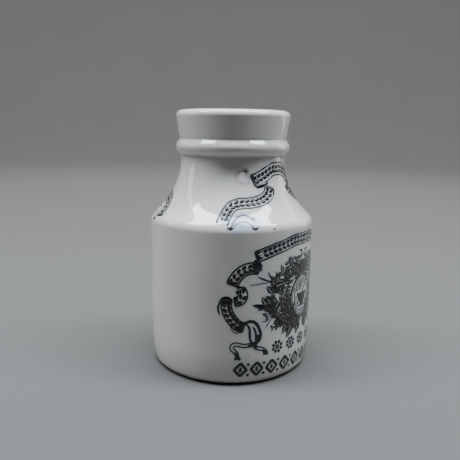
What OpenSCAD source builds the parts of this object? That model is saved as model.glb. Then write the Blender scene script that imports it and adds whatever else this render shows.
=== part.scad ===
// Small apothecary jar in glazed earthenware: straight body, bell shoulder, beaded neck with
// a flared tie-down collar, and a cork stopper that lifts out of the mouth.
// Millimetres, +Z up, origin at the middle of the foot's resting plane.
//
// Both faces of the wall are drawn as a belt of circles. A circle is [centre, rho]: rho is
// positive where the wall bulges away from the jar's axis and negative where it is hollowed,
// and the straight stretches are the common tangents of neighbouring circles.

/* [Body] */
// Height from the resting plane to the crown of the lip
jar_h = 120; // [118:0.5:124]
// Outside diameter of the straight wall
body_d = 77.6; // [76:0.2:80]
// Height at which the wall becomes straight above the foot
wall_start = 15; // [12:0.5:20]
// Height of the middle of the shoulder's rounded edge
shoulder_z = 68.6; // [67:0.2:70]
// Radius of the shoulder's rounded edge
shoulder_round = 5; // [3.5:0.5:6]

/* [Neck] */
// Diameter at the narrowest part of the neck
neck_d = 49; // [48.4:0.2:50]
// Height at which the neck's bell curve turns upright
neck_z = 99; // [97:0.2:99]
// Radius of the neck's bell curve
bell_round = 34; // [30:1:36]
// Radius of the cove under the bead
cove_round = 1.2; // [1:0.1:1.3]
// Height of the middle of the bead
bead_z = 103.4; // [103.2:0.1:103.8]
// Diameter over the bead
bead_d = 53.8; // [53.2:0.1:54.4]
// Radius of the bead's section
bead_round = 3.5; // [3.2:0.1:3.6]
// Diameter at the bottom of the tie-down groove
groove_d = 50.4; // [50:0.1:51]
// Height of the tie-down groove
groove_z = 107; // [106.8:0.1:107.4]
// Radius of the tie-down groove's corner
groove_round = 0.6; // [0.4:0.1:0.8]
// Diameter over the lip
lip_d = 53.6; // [53.2:0.1:54.4]
// Radius of the lip's two rounded edges
lip_round = 2.6; // [2.2:0.1:2.7]

/* [Inside] */
// Diameter of the mouth
mouth_d = 41.6; // [41:0.1:42]
// Inside diameter of the body
cavity_d = 68.4; // [66:0.2:69]
// Height of the inside floor
floor_z = 6; // [5:0.5:8]
// Radius between the inside floor and the wall
floor_round = 7; // [5:0.5:9]
// Radius inside the shoulder's edge
inner_shoulder_round = 6; // [4:0.5:8]
// Height of the middle of the inner shoulder's edge
inner_shoulder_z = 64.4; // [63:0.2:65]
// Radius of the bell curve inside the neck
inner_bell_round = 36; // [33:1:38]
// Height at which the inner bell curve turns upright
inner_neck_z = 97; // [96:0.2:98]

/* [Foot] */
// How far the foot's rounded edge is centred inside the straight wall
foot_inset = 5.5; // [5.3:0.1:6.5]
// Height at which the foot's rounded edge is centred
foot_round = 4.2; // [3.6:0.1:4.4]
// Width of the flat that the jar stands on
foot_land = 3.4; // [2.5:0.1:4]
// Depth of the hollow inside the foot ring
foot_recess = 1.6; // [1.2:0.1:2]
// Width of the sloping inner face of the foot ring
foot_bevel = 1; // [0.6:0.1:1.4]

/* [Glaze] */
// Thickness of the glaze
glaze_t = 0.35; // [0.25:0.05:0.45]
// Lower edge of the outer glaze, as degrees below level round the foot's edge
glaze_stop = 48; // [40:1:50]

/* [Cork] */
// Length of the stopper
cork_l = 20; // [16:1:20]
// Depth of the stopper's top below the crown of the lip
cork_recess = 1.5; // [1:0.1:2]
// Gap between the stopper's gripping band and the mouth, on the radius
cork_gap = 0.05; // [0.03:0.01:0.1]
// Length of the stopper's gripping band
cork_band = 9; // [6:1:12]
// Diameter of the stopper's lower end
cork_tip_d = 39; // [37:0.5:40]
// Worn-off edge at both ends of the stopper
cork_edge = 0.7; // [0.4:0.1:1]

/* [Hidden] */

DEGREES_PER_POINT = 5;
REVOLVE_FN = 180;

lip_z = jar_h - lip_round;
mouth_crown_r = mouth_d / 2 + lip_round;
foot_edge_r = body_d / 2 - foot_inset;
foot_edge_rho = foot_round + glaze_t;
recess_r = foot_edge_r - foot_land - foot_bevel;

// The slow swell above the foot is the one circle that touches both the foot's edge and the
// straight wall.
swell_rise = wall_start - foot_round;
swell_rho = (pow(swell_rise, 2) + pow(foot_inset, 2) - pow(foot_edge_rho, 2))
    / (2 * (foot_inset - foot_edge_rho));

// The outside of the glaze, from the foot's edge up to the lip.
outer_belt = [
    [[foot_edge_r, foot_round], foot_edge_rho],
    [[body_d / 2 - swell_rho, wall_start], swell_rho],
    [[body_d / 2 - shoulder_round, shoulder_z], shoulder_round],
    [[neck_d / 2 + bell_round, neck_z], -bell_round],
    [[neck_d / 2 + cove_round, bead_z - bead_round - cove_round / 2], -cove_round],
    [[bead_d / 2 - bead_round, bead_z], bead_round],
    [[groove_d / 2 + groove_round, groove_z], -groove_round],
    [[lip_d / 2 - lip_round, lip_z], lip_round],
];

// The inside of the glaze, from the floor up to the lip.
inner_belt = [
    [[cavity_d / 2 - floor_round, floor_z + floor_round], floor_round],
    [[cavity_d / 2 - inner_shoulder_round, inner_shoulder_z], inner_shoulder_round],
    [[mouth_d / 2 + inner_bell_round, inner_neck_z], -inner_bell_round],
    [[mouth_d / 2 + lip_round, lip_z], -lip_round],
];

// Degrees above level that the common tangent of two neighbouring circles faces.
function facing(a, b) =
    let (d = b[0] - a[0])
    atan2(d[1], d[0]) - acos(max(-1, min(1, (a[1] - b[1]) / norm(d))));

// Points round one circle of a belt as it turns from one facing to the next, grown outwards.
function bend(circle, from, to, grow) =
    let (steps = max(1, ceil(abs(to - from) / DEGREES_PER_POINT)))
    [for (i = [0:steps])
        let (a = from + (to - from) * i / steps)
        circle[0] + (circle[1] + grow) * [cos(a), sin(a)]];

// Points along a belt, which faces first at its lower end and last at its upper end.
function outline(belt, first, last, grow = 0) =
    let (
        n = len(belt),
        turns = [first, for (i = [0:n - 2]) facing(belt[i], belt[i + 1]), last]
    )
    [for (i = [0:n - 1]) each bend(belt[i], turns[i], turns[i + 1], grow)];

function reversed(points) = [for (i = [len(points) - 1:-1:0]) points[i]];

module revolve(points) rotate_extrude($fn = REVOLVE_FN) polygon(points);

// Fired clay: the floor, the wall and the dry foot ring that the jar stands on.
module clay_body() {
    color("linen")
        revolve(concat(
            [[0, foot_recess], [recess_r, foot_recess], [recess_r + foot_bevel, 0]],
            outline(outer_belt, -90, 90, -glaze_t),
            reversed(outline(inner_belt, -90, -90, glaze_t)),
            [[0, floor_z - glaze_t]]
        ));
}

// Glaze on the outside, from just above the resting plane up to the crown of the lip.
module outer_glaze() {
    color("whitesmoke")
        revolve(concat(
            outline(outer_belt, -glaze_stop, 90),
            [[mouth_crown_r, jar_h], [mouth_crown_r, jar_h - glaze_t]],
            reversed(outline(outer_belt, -glaze_stop, 90, -glaze_t))
        ));
}

// Glaze on the inside, from the crown of the lip down across the floor.
module inner_glaze() {
    color("ivory")
        revolve(concat(
            [[0, floor_z - glaze_t]],
            outline(inner_belt, -90, -90, glaze_t),
            reversed(outline(inner_belt, -90, -90)),
            [[0, floor_z]]
        ));
}

// Glaze in the hollow inside the foot ring.
module base_glaze() {
    color("whitesmoke")
        translate([0, 0, foot_recess - glaze_t])
            cylinder(h = glaze_t, r = recess_r, $fn = REVOLVE_FN);
}

// Cork bung with a straight gripping band and a tapered lower end.
module cork_stopper() {
    grip_r = mouth_d / 2 - cork_gap;
    tip_r = cork_tip_d / 2;
    top = jar_h - cork_recess;
    bottom = top - cork_l;
    color("burlywood")
        revolve([
            [0, bottom],
            [tip_r - cork_edge, bottom],
            [tip_r, bottom + cork_edge],
            [grip_r, top - cork_band],
            [grip_r, top - cork_edge],
            [grip_r - cork_edge, top],
            [0, top],
        ]);
}

clay_body();
outer_glaze();
inner_glaze();
base_glaze();
cork_stopper();
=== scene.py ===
import math

import bmesh
import bpy
from mathutils import Matrix, Vector


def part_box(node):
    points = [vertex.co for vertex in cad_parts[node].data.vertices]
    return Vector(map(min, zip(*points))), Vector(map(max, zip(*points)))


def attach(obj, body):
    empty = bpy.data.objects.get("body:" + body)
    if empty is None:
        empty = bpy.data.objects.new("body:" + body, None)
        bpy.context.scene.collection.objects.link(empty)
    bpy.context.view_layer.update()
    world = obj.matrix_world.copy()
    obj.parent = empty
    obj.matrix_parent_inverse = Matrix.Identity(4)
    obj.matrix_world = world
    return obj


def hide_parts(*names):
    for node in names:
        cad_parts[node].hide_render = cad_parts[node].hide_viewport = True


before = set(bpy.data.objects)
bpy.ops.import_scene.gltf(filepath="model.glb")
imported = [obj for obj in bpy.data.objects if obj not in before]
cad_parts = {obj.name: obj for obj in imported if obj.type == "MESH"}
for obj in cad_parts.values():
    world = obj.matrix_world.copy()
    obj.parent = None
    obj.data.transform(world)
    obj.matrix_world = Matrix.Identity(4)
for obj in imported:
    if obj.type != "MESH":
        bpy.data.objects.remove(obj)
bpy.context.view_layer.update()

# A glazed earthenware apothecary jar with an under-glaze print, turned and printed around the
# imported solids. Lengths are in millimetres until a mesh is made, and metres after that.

MM = 0.001

# ---------------------------------------------------------------------------------------------
# Sizes
# ---------------------------------------------------------------------------------------------

# What the solids' boxes give.
JAR_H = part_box("outer_glaze")[1].z / MM
BODY_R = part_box("outer_glaze")[1].x / MM
GLAZE_T = BODY_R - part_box("clay_body")[1].x / MM
RECESS_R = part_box("base_glaze")[1].x / MM
RECESS_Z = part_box("base_glaze")[1].z / MM
CORK_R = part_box("cork_stopper")[1].x / MM
CORK_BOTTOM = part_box("cork_stopper")[0].z / MM
CORK_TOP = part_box("cork_stopper")[1].z / MM

# What the boxes can't give: the cork's taper, and the rounds of the foot, wall, neck, lip and inside.
CORK_TIP_R = 19.5
CORK_BAND = 9
CORK_EDGE = 0.7
FOOT_EDGE_R = 33.3
FOOT_ROUND = 4.2
FOOT_BEVEL = 1
GLAZE_STOP = 48
WALL_START = 15
SHOULDER_Z = 68.6
SHOULDER_ROUND = 5
NECK_R = 24.5
NECK_Z = 99
BELL_ROUND = 34
COVE_ROUND = 1.2
BEAD_Z = 103.4
BEAD_R = 26.9
BEAD_ROUND = 3.5
GROOVE_R = 25.2
GROOVE_Z = 107
GROOVE_ROUND = 0.6
LIP_R = 26.8
LIP_ROUND = 2.6
MOUTH_R = 20.8
CAVITY_R = 34.2
FLOOR_Z = 6
FLOOR_ROUND = 7
INNER_SHOULDER_ROUND = 6
INNER_SHOULDER_Z = 64.4
INNER_BELL_ROUND = 36
INNER_NECK_Z = 97

# Steps round the jar and round the cork.
SEGMENTS = 264
CORK_SEGMENTS = 200

# How closely a profile is stepped: degrees of a round stretch, and mm of any stretch.
FINE = (4, 1.4)
PLAIN = (9, 5)

# The print lies in the glaze: this much of it is above the glaze's surface, and this much below.
INK_LIFT = 0.03
INK_DEPTH = 0.06

# How far the wall strays from a true circle, and how tall the finger ridges are.
WANDER = 0.5
RIDGES = 0.05

# ---------------------------------------------------------------------------------------------
# Node trees
# ---------------------------------------------------------------------------------------------


class Nodes:
    """Adds nodes to a tree; an input is a plain value or another node's output."""

    def __init__(self, tree):
        self.tree = tree

    def add(self, kind, inputs=None, **settings):
        node = self.tree.nodes.new(kind)
        for name, value in settings.items():
            setattr(node, name, value)
        for socket, value in (inputs or {}).items():
            if isinstance(value, bpy.types.NodeSocket):
                self.tree.links.new(value, node.inputs[socket])
            else:
                node.inputs[socket].default_value = value
        return node

    def math(self, operation, *values):
        return self.add("ShaderNodeMath", dict(enumerate(values)), operation=operation).outputs[0]

    def vector(self, operation, *values):
        node = self.add("ShaderNodeVectorMath", dict(enumerate(values)), operation=operation)
        return node.outputs["Value" if operation in ("LENGTH", "DOT_PRODUCT") else "Vector"]

    def scaled(self, vector, factor):
        inputs = {"Vector": vector, "Scale": factor}
        return self.add("ShaderNodeVectorMath", inputs, operation="SCALE").outputs["Vector"]

    def ranged(self, value, low, high, to_low=0.0, to_high=1.0, smooth=False):
        inputs = {"Value": value, "From Min": low, "From Max": high,
                  "To Min": to_low, "To Max": to_high}
        kind = "SMOOTHSTEP" if smooth else "LINEAR"
        return self.add("ShaderNodeMapRange", inputs, interpolation_type=kind).outputs["Result"]

    def noise(self, vector, scale, detail=2.0, roughness=0.5):
        inputs = {"Vector": vector, "Scale": scale, "Detail": detail, "Roughness": roughness}
        return self.add("ShaderNodeTexNoise", inputs).outputs["Fac"]

    def chance(self, low, high, seed):
        """A float drawn for each point; the node's second value is its float one."""
        inputs = {2: low, 3: high, "Seed": seed}
        return self.add("FunctionNodeRandomValue", inputs, data_type="FLOAT").outputs[1]


def geometry_tree(name, **sizes):
    """A Geometry Nodes tree with named inputs: returns its Nodes, its given values, its result."""
    tree = bpy.data.node_groups.new(name, "GeometryNodeTree")
    face = tree.interface
    face.new_socket("Geometry", in_out="INPUT", socket_type="NodeSocketGeometry")
    for label, kind in sizes.items():
        face.new_socket(label.replace("_", " "), in_out="INPUT", socket_type="NodeSocket" + kind)
    face.new_socket("Geometry", in_out="OUTPUT", socket_type="NodeSocketGeometry")
    nodes = Nodes(tree)
    return nodes, nodes.add("NodeGroupInput").outputs, nodes.add("NodeGroupOutput").inputs


def finished_with(nodes, geometry, material, result):
    """Ends a tree with Realize Instances and Set Material."""
    plain = nodes.add("GeometryNodeRealizeInstances", {"Geometry": geometry})
    smooth = nodes.add("GeometryNodeSetShadeSmooth", {"Geometry": plain.outputs["Geometry"]})
    painted = nodes.add("GeometryNodeSetMaterial",
                        {"Geometry": smooth.outputs["Geometry"], "Material": material})
    nodes.tree.links.new(painted.outputs["Geometry"], result["Geometry"])


def grow(name, seed_mesh, tree, sizes, thickness=0.0):
    """Runs a tree on a seed mesh, thickens the result if asked, and keeps it as a plain mesh."""
    seed = bpy.data.objects.new(name + "_seed", seed_mesh)
    bpy.context.collection.objects.link(seed)
    modifier = seed.modifiers.new("Grow", "NODES")
    modifier.node_group = tree
    for item in tree.interface.items_tree:
        if item.name in sizes:
            modifier[item.identifier] = sizes[item.name]
    if thickness:
        solid = seed.modifiers.new("Thicken", "SOLIDIFY")
        solid.thickness = thickness * MM
        solid.offset = -1
    graph = bpy.context.evaluated_depsgraph_get()
    mesh = bpy.data.meshes.new_from_object(seed.evaluated_get(graph))
    mesh.name = name
    bpy.data.objects.remove(seed)
    piece = bpy.data.objects.new(name, mesh)
    bpy.context.collection.objects.link(piece)
    return piece


def turned_ware_tree():
    """Turns a profile round the jar's axis, with the slight wander of hand-finished ware."""
    n, given, result = geometry_tree(
        "Turned ware", Segments="Int", Wander="Float", Ridges="Float", Still_radius="Float",
        Material="Material")
    profile = given["Geometry"]
    rows = n.add("GeometryNodeAttributeDomainSize", {"Geometry": profile}).outputs["Point Count"]
    columns = n.math("ADD", given["Segments"], 1.0)
    grid = n.add("GeometryNodeMeshGrid", {"Size X": 1.0, "Size Y": 1.0, "Vertices X": columns,
                                          "Vertices Y": rows})
    index = n.add("GeometryNodeInputIndex").outputs["Index"]
    row = n.math("FLOORED_MODULO", index, rows)
    column = n.math("FLOOR", n.math("DIVIDE", index, rows))
    turn = n.math("DIVIDE", n.math("MULTIPLY", column, math.tau), given["Segments"])
    place = n.add("GeometryNodeInputPosition").outputs["Position"]
    on_profile = n.add("GeometryNodeSampleIndex", {"Geometry": profile, "Index": row},
                       data_type="FLOAT_VECTOR")
    n.tree.links.new(place, on_profile.inputs["Value"])
    turned = n.add("ShaderNodeVectorRotate", {"Vector": on_profile.outputs["Value"], "Angle": turn},
                   rotation_type="Z_AXIS")
    # Carries the glaze's pooling, which also paints shade into the hollows, from the profile to every point.
    pooled_and_painted_shade = n.add("GeometryNodeInputNamedAttribute", {"Name": "pool"}, data_type="FLOAT")
    pool = n.add("GeometryNodeSampleIndex", {"Geometry": profile, "Index": row}, data_type="FLOAT")
    n.tree.links.new(pooled_and_painted_shade.outputs["Attribute"], pool.inputs["Value"])
    marked = n.add("GeometryNodeStoreNamedAttribute",
                   {"Geometry": grid.outputs["Mesh"], "Name": "pool", "Value": pool.outputs[0]},
                   data_type="FLOAT", domain="POINT")
    shaped = n.add("GeometryNodeSetPosition",
                   {"Geometry": marked.outputs["Geometry"], "Position": turned.outputs["Vector"]})
    closed = n.add("GeometryNodeMergeByDistance",
                   {"Geometry": shaped.outputs["Geometry"], "Distance": 0.002 * MM})

    # Every layer of the wall wanders alike, because the noise is read on one cylinder.
    radial = n.vector("MULTIPLY", place, (1.0, 1.0, 0.0))
    outward = n.vector("NORMALIZE", radial)
    on_cylinder = n.vector("ADD", n.scaled(outward, BODY_R * MM), n.vector("MULTIPLY", place, (0, 0, 1)))
    slow = n.math("SUBTRACT", n.noise(on_cylinder, 28.0), 0.5)
    stretched = n.vector("MULTIPLY", on_cylinder, (0.06, 0.06, 1.0))
    fine = n.math("SUBTRACT", n.noise(stretched, 420.0, 1.0), 0.5)
    swing = n.math("ADD", n.math("MULTIPLY", slow, given["Wander"]),
                   n.math("MULTIPLY", fine, given["Ridges"]))
    still = given["Still radius"]
    free = n.ranged(n.vector("LENGTH", radial), still, n.math("ADD", still, 3 * MM), smooth=True)
    moved = n.add("GeometryNodeSetPosition",
                  {"Geometry": closed.outputs["Geometry"],
                   "Offset": n.scaled(outward, n.math("MULTIPLY", swing, free))})
    finished_with(n, moved.outputs["Geometry"], given["Material"], result)
    return n.tree


def laid_on_glaze(n, geometry, glaze, lift):
    """Moves every point to the nearest place on the glaze, and lift above it."""
    place = n.add("GeometryNodeInputPosition").outputs["Position"]
    nearest = n.add("GeometryNodeProximity", {"Geometry": glaze}, target_element="FACES")
    normal = glaze_normal(n, glaze, place)
    raised = n.vector("ADD", nearest.outputs["Position"], n.scaled(normal, lift))
    return n.add("GeometryNodeSetPosition", {"Geometry": geometry, "Position": raised}).outputs["Geometry"]


def glaze_normal(n, glaze, place):
    """Which way the glaze faces nearest to a place."""
    facing = n.add("GeometryNodeInputNormal").outputs["Normal"]
    sampled = n.add("GeometryNodeSampleNearestSurface", {"Mesh": glaze}, data_type="FLOAT_VECTOR")
    n.tree.links.new(facing, sampled.inputs["Value"])
    n.tree.links.new(place, sampled.inputs["Sample Position"])
    return sampled.outputs["Value"]


def printed_line_tree():
    """Draws each path on the glaze as a flat line of ink, as wide as its own half_width says."""
    n, given, result = geometry_tree(
        "Printed line", Glaze="Object", Step="Float", Nib_points="Int", Lift="Float", Material="Material")
    glaze = n.add("GeometryNodeObjectInfo", {"Object": given["Glaze"]}).outputs["Geometry"]
    paths = n.add("GeometryNodeMeshToCurve", {"Mesh": given["Geometry"]})
    even = n.add("GeometryNodeResampleCurve", {"Curve": paths.outputs["Curve"]}, mode="LENGTH")
    n.tree.links.new(given["Step"], even.inputs["Length"])
    place = n.add("GeometryNodeInputPosition").outputs["Position"]
    upright = n.add("GeometryNodeSetCurveNormal", {"Curve": even.outputs["Curve"]}, mode="FREE")
    n.tree.links.new(glaze_normal(n, glaze, place), upright.inputs["Normal"])
    nib = n.add("GeometryNodeCurvePrimitiveLine", {"Start": (0, -1, 0), "End": (0, 1, 0)})
    bent = n.add("GeometryNodeResampleCurve",
                 {"Curve": nib.outputs["Curve"], "Count": given["Nib points"]}, mode="COUNT")
    half = n.add("GeometryNodeInputNamedAttribute", {"Name": "half_width"}, data_type="FLOAT")
    drawn = n.add("GeometryNodeCurveToMesh",
                  {"Curve": upright.outputs["Curve"], "Profile Curve": bent.outputs["Curve"],
                   "Scale": half.outputs["Attribute"]})
    laid = laid_on_glaze(n, drawn.outputs["Mesh"], glaze, given["Lift"])
    finished_with(n, laid, given["Material"], result)
    return n.tree


def printed_row_tree():
    """Repeats a flat motif along each path on the glaze."""
    n, given, result = geometry_tree(
        "Printed row", Glaze="Object", Motif="Object", Spacing="Float", Turn="Float",
        First_size="Float", Last_size="Float", Variety="Float", Seed="Int", Lift="Float",
        Material="Material")
    glaze = n.add("GeometryNodeObjectInfo", {"Object": given["Glaze"]}).outputs["Geometry"]
    motif = n.add("GeometryNodeObjectInfo", {"Object": given["Motif"], "As Instance": True})
    paths = n.add("GeometryNodeMeshToCurve", {"Mesh": given["Geometry"]})
    even = n.add("GeometryNodeResampleCurve", {"Curve": paths.outputs["Curve"]}, mode="LENGTH")
    n.tree.links.new(given["Spacing"], even.inputs["Length"])
    place = n.add("GeometryNodeInputPosition").outputs["Position"]
    along = n.add("GeometryNodeInputTangent").outputs["Tangent"]
    flat = n.add("FunctionNodeAxesToRotation",
                 {"Primary Axis": glaze_normal(n, glaze, place), "Secondary Axis": along},
                 primary_axis="Z", secondary_axis="X")

    turn_seed = n.math("ADD", given["Seed"], 1.0)
    size_seed = n.math("ADD", given["Seed"], 2.0)
    less = n.math("MULTIPLY", given["Variety"], -1.0)
    swing = n.math("ADD", given["Turn"], n.chance(less, given["Variety"], turn_seed))
    turned = n.add("FunctionNodeRotateRotation",
                   {"Rotation": flat.outputs["Rotation"],
                    "Rotate By": n.add("FunctionNodeAxisAngleToRotation",
                                       {"Axis": (0, 0, 1), "Angle": swing}).outputs["Rotation"]},
                   rotation_space="LOCAL")
    far = n.add("GeometryNodeSplineParameter").outputs["Factor"]
    size = n.ranged(far, 0.0, 1.0, given["First size"], given["Last size"])
    size = n.math("MULTIPLY", size, n.math("ADD", n.chance(less, given["Variety"], size_seed), 1.0))
    set_out = n.add("GeometryNodeInstanceOnPoints",
                    {"Points": even.outputs["Curve"], "Instance": motif.outputs["Geometry"],
                     "Rotation": turned.outputs["Rotation"], "Scale": size})
    plain = n.add("GeometryNodeRealizeInstances", {"Geometry": set_out.outputs["Instances"]})
    laid = laid_on_glaze(n, plain.outputs["Geometry"], glaze, given["Lift"])
    finished_with(n, laid, given["Material"], result)
    return n.tree


def speckle_tree():
    """Scatters small raised grains of iron over the glaze."""
    n, given, result = geometry_tree(
        "Kiln specks", Grain="Object", Apart="Float", Share="Float", Smallest="Float",
        Largest="Float", Seed="Int", Material="Material")
    points = n.add("GeometryNodeDistributePointsOnFaces",
                   {"Mesh": given["Geometry"], "Density Max": 60000.0, "Density Factor": given["Share"],
                    "Distance Min": given["Apart"], "Seed": given["Seed"]},
                   distribute_method="POISSON")
    grain = n.add("GeometryNodeObjectInfo", {"Object": given["Grain"], "As Instance": True})
    size = n.chance(given["Smallest"], given["Largest"], given["Seed"])
    specks = n.add("GeometryNodeInstanceOnPoints",
                   {"Points": points.outputs["Points"], "Instance": grain.outputs["Geometry"],
                    "Rotation": points.outputs["Rotation"], "Scale": size})
    finished_with(n, specks.outputs["Instances"], given["Material"], result)
    return n.tree


def ink_bleed_tree():
    """Marks the glaze with how near the print is, so that the ink's edges can bleed into it."""
    n, given, result = geometry_tree("Ink bleed", Print="Collection", Reach="Float", Material="Material")
    ink = n.add("GeometryNodeCollectionInfo", {"Collection": given["Print"]}).outputs["Instances"]
    ink = n.add("GeometryNodeRealizeInstances", {"Geometry": ink}).outputs["Geometry"]
    near = n.add("GeometryNodeProximity", {"Geometry": ink}, target_element="FACES")
    bleed = n.ranged(near.outputs["Distance"], 0.0, given["Reach"], 1.0, 0.0, smooth=True)
    marked = n.add("GeometryNodeStoreNamedAttribute",
                   {"Geometry": given["Geometry"], "Name": "bleed", "Value": bleed},
                   data_type="FLOAT", domain="POINT")
    finished_with(n, marked.outputs["Geometry"], given["Material"], result)
    return n.tree


def pitted_tree():
    """Sinks pores and grain into a cork, always inwards so that it still fits its mouth."""
    n, given, result = geometry_tree("Pitted cork", Depth="Float", Material="Material")
    place = n.add("GeometryNodeInputPosition").outputs["Position"]
    facing_out = n.add("GeometryNodeInputNormal").outputs["Normal"]
    drawn = n.vector("MULTIPLY", place, (1.0, 0.35, 0.8))
    pores = n.ranged(n.noise(drawn, 300.0, 3.0, 0.55), 0.60, 0.72, smooth=True)
    grain = n.ranged(n.noise(place, 420.0, 3.0, 0.6), 0.35, 0.75, 0.0, 0.22)
    sink = n.math("MULTIPLY", n.math("ADD", pores, grain), given["Depth"])
    sunk = n.add("GeometryNodeSetPosition",
                 {"Geometry": given["Geometry"],
                  "Offset": n.scaled(facing_out, n.math("MULTIPLY", sink, -1.0))})
    finished_with(n, sunk.outputs["Geometry"], given["Material"], result)
    return n.tree


# ---------------------------------------------------------------------------------------------
# The wall's outline
# ---------------------------------------------------------------------------------------------

# A belt of circles, each ((r, z), rho): rho is positive where the wall bulges away from the
# axis and negative where it is hollowed, and straight stretches are common tangents.


def swell_round():
    """Radius of the circle that touches both the foot's edge and the straight wall."""
    inset = BODY_R - FOOT_EDGE_R
    rise = WALL_START - FOOT_ROUND
    rho = FOOT_ROUND + GLAZE_T
    return (rise ** 2 + inset ** 2 - rho ** 2) / (2 * (inset - rho))


LIP_Z = JAR_H - LIP_ROUND
OUTER_BELT = [
    ((FOOT_EDGE_R, FOOT_ROUND), FOOT_ROUND + GLAZE_T),
    ((BODY_R - swell_round(), WALL_START), swell_round()),
    ((BODY_R - SHOULDER_ROUND, SHOULDER_Z), SHOULDER_ROUND),
    ((NECK_R + BELL_ROUND, NECK_Z), -BELL_ROUND),
    ((NECK_R + COVE_ROUND, BEAD_Z - BEAD_ROUND - COVE_ROUND / 2), -COVE_ROUND),
    ((BEAD_R - BEAD_ROUND, BEAD_Z), BEAD_ROUND),
    ((GROOVE_R + GROOVE_ROUND, GROOVE_Z), -GROOVE_ROUND),
    ((LIP_R - LIP_ROUND, LIP_Z), LIP_ROUND),
]
INNER_BELT = [
    ((CAVITY_R - FLOOR_ROUND, FLOOR_Z + FLOOR_ROUND), FLOOR_ROUND),
    ((CAVITY_R - INNER_SHOULDER_ROUND, INNER_SHOULDER_Z), INNER_SHOULDER_ROUND),
    ((MOUTH_R + INNER_BELL_ROUND, INNER_NECK_Z), -INNER_BELL_ROUND),
    ((MOUTH_R + LIP_ROUND, LIP_Z), -LIP_ROUND),
]


def facing(one, other):
    """Direction that the common tangent of two neighbouring circles faces, from level."""
    r = other[0][0] - one[0][0]
    z = other[0][1] - one[0][1]
    lean = (one[1] - other[1]) / math.hypot(r, z)
    return math.atan2(z, r) - math.acos(max(-1.0, min(1.0, lean)))


def outline(belt, first, last, grow_by=0.0, steps=FINE):
    """Points (r, z) along a belt, which faces first degrees at its start and last at its end."""
    turns = [math.radians(first)]
    turns += [facing(one, other) for one, other in zip(belt, belt[1:])]
    turns += [math.radians(last)]
    points = []
    for ((r, z), rho), start, end in zip(belt, turns, turns[1:]):
        reach = rho + grow_by
        parts = max(1, math.ceil(abs(math.degrees(end - start)) / steps[0]),
                    math.ceil(abs(end - start) * abs(reach) / steps[1]))
        for i in range(parts + 1):
            angle = start + (end - start) * i / parts
            points.append((r + reach * math.cos(angle), z + reach * math.sin(angle)))
    return points


def stepped(points, steps=FINE):
    """The same points, with long straight stretches cut into short ones."""
    cut = [points[0]]
    for (r0, z0), (r1, z1) in zip(points, points[1:]):
        parts = max(1, math.ceil(math.hypot(r1 - r0, z1 - z0) / steps[1]))
        cut += [(r0 + (r1 - r0) * i / parts, z0 + (z1 - z0) * i / parts)
                for i in range(1, parts + 1)]
    return cut


def pooling_and_painted_shade_at(r, z):
    """How much the glaze has pooled, darkened also as painted shade: in the groove, under the bead, at the
    foot, on the floor.
    """
    groove = math.exp(-((z - GROOVE_Z) / 0.7) ** 2)
    cove = math.exp(-((z - NECK_Z - 0.6) / 1.0) ** 2)
    foot = math.exp(-((z - 1.2) / 1.3) ** 2)
    outside = r > NECK_R - 1
    floor = math.exp(-((math.hypot(r - CAVITY_R + 4, z - FLOOR_Z - 2)) / 4) ** 2)
    return max(groove * outside, cove * outside, foot, floor)


def profile_mesh(name, points):
    """A profile as a line of edges in the XZ plane, in metres, marked with where glaze pools and painted
    shade falls.
    """
    mesh = bpy.data.meshes.new(name)
    edges = [(i, i + 1) for i in range(len(points) - 1)]
    mesh.from_pydata([(r * MM, 0, z * MM) for r, z in points], edges, [])
    pool = mesh.attributes.new("pool", "FLOAT", "POINT")
    for i, (r, z) in enumerate(points):
        pool.data[i].value = pooling_and_painted_shade_at(r, z)
    return mesh


def glaze_coat_profile():
    """One coat: up the outside, over the lip, down the inside and across the floor."""
    outside = stepped(outline(OUTER_BELT, -GLAZE_STOP, 90))
    inside = outline(INNER_BELT, -90, -90, 0.0, PLAIN)[::-1]
    under_inside = outline(INNER_BELT, -90, -90, GLAZE_T, PLAIN)
    under_outside = outline(OUTER_BELT, -GLAZE_STOP, 90, -GLAZE_T, PLAIN)[::-1]
    back = [(0, FLOOR_Z - GLAZE_T)] + under_inside + under_outside
    return outside + stepped(inside + [(0, FLOOR_Z)] + back, PLAIN) + [outside[0]]


def clay_profile():
    """Fired clay: the recess, the foot ring, and both faces of the wall under the glaze."""
    recess = [(0, RECESS_Z), (RECESS_R, RECESS_Z), (RECESS_R + FOOT_BEVEL, 0)]
    outside = outline(OUTER_BELT, -90, 90, -GLAZE_T, PLAIN)
    inside = outline(INNER_BELT, -90, -90, GLAZE_T, PLAIN)[::-1]
    return stepped(recess + outside + inside + [(0, FLOOR_Z - GLAZE_T), (0, RECESS_Z)], PLAIN)


def base_glaze_profile():
    """Glaze in the recess, thinning out in a small bead against the foot ring."""
    low = RECESS_Z - GLAZE_T
    edge = [(RECESS_R - 1.2 + 1.2 * math.sin(a), low + GLAZE_T - GLAZE_T * math.cos(a))
            for a in (math.radians(d) for d in range(0, 91, 15))]
    face = [(0, low)] + [(r, low + (z - low) * 0.9) for r, z in edge]
    return stepped(face + [(RECESS_R, RECESS_Z), (0, RECESS_Z), (0, low)])


def cork_profile():
    """A tapered lower end, a straight band that grips the mouth, and two worn edges."""
    side = [(0, CORK_BOTTOM), (CORK_TIP_R - CORK_EDGE, CORK_BOTTOM),
            (CORK_TIP_R, CORK_BOTTOM + CORK_EDGE), (CORK_R, CORK_TOP - CORK_BAND),
            (CORK_R, CORK_TOP - CORK_EDGE), (CORK_R - CORK_EDGE, CORK_TOP), (0, CORK_TOP)]
    return stepped(side)


OUTSIDE = outline(OUTER_BELT, -GLAZE_STOP, 0)


def glaze_radius(z):
    """Radius of the outer glaze at a height below the bead."""
    for (r0, z0), (r1, z1) in zip(OUTSIDE, OUTSIDE[1:]):
        if z0 <= z <= z1 and z1 > z0:
            return r0 + (r1 - r0) * (z - z0) / (z1 - z0)
    return BODY_R


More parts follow.
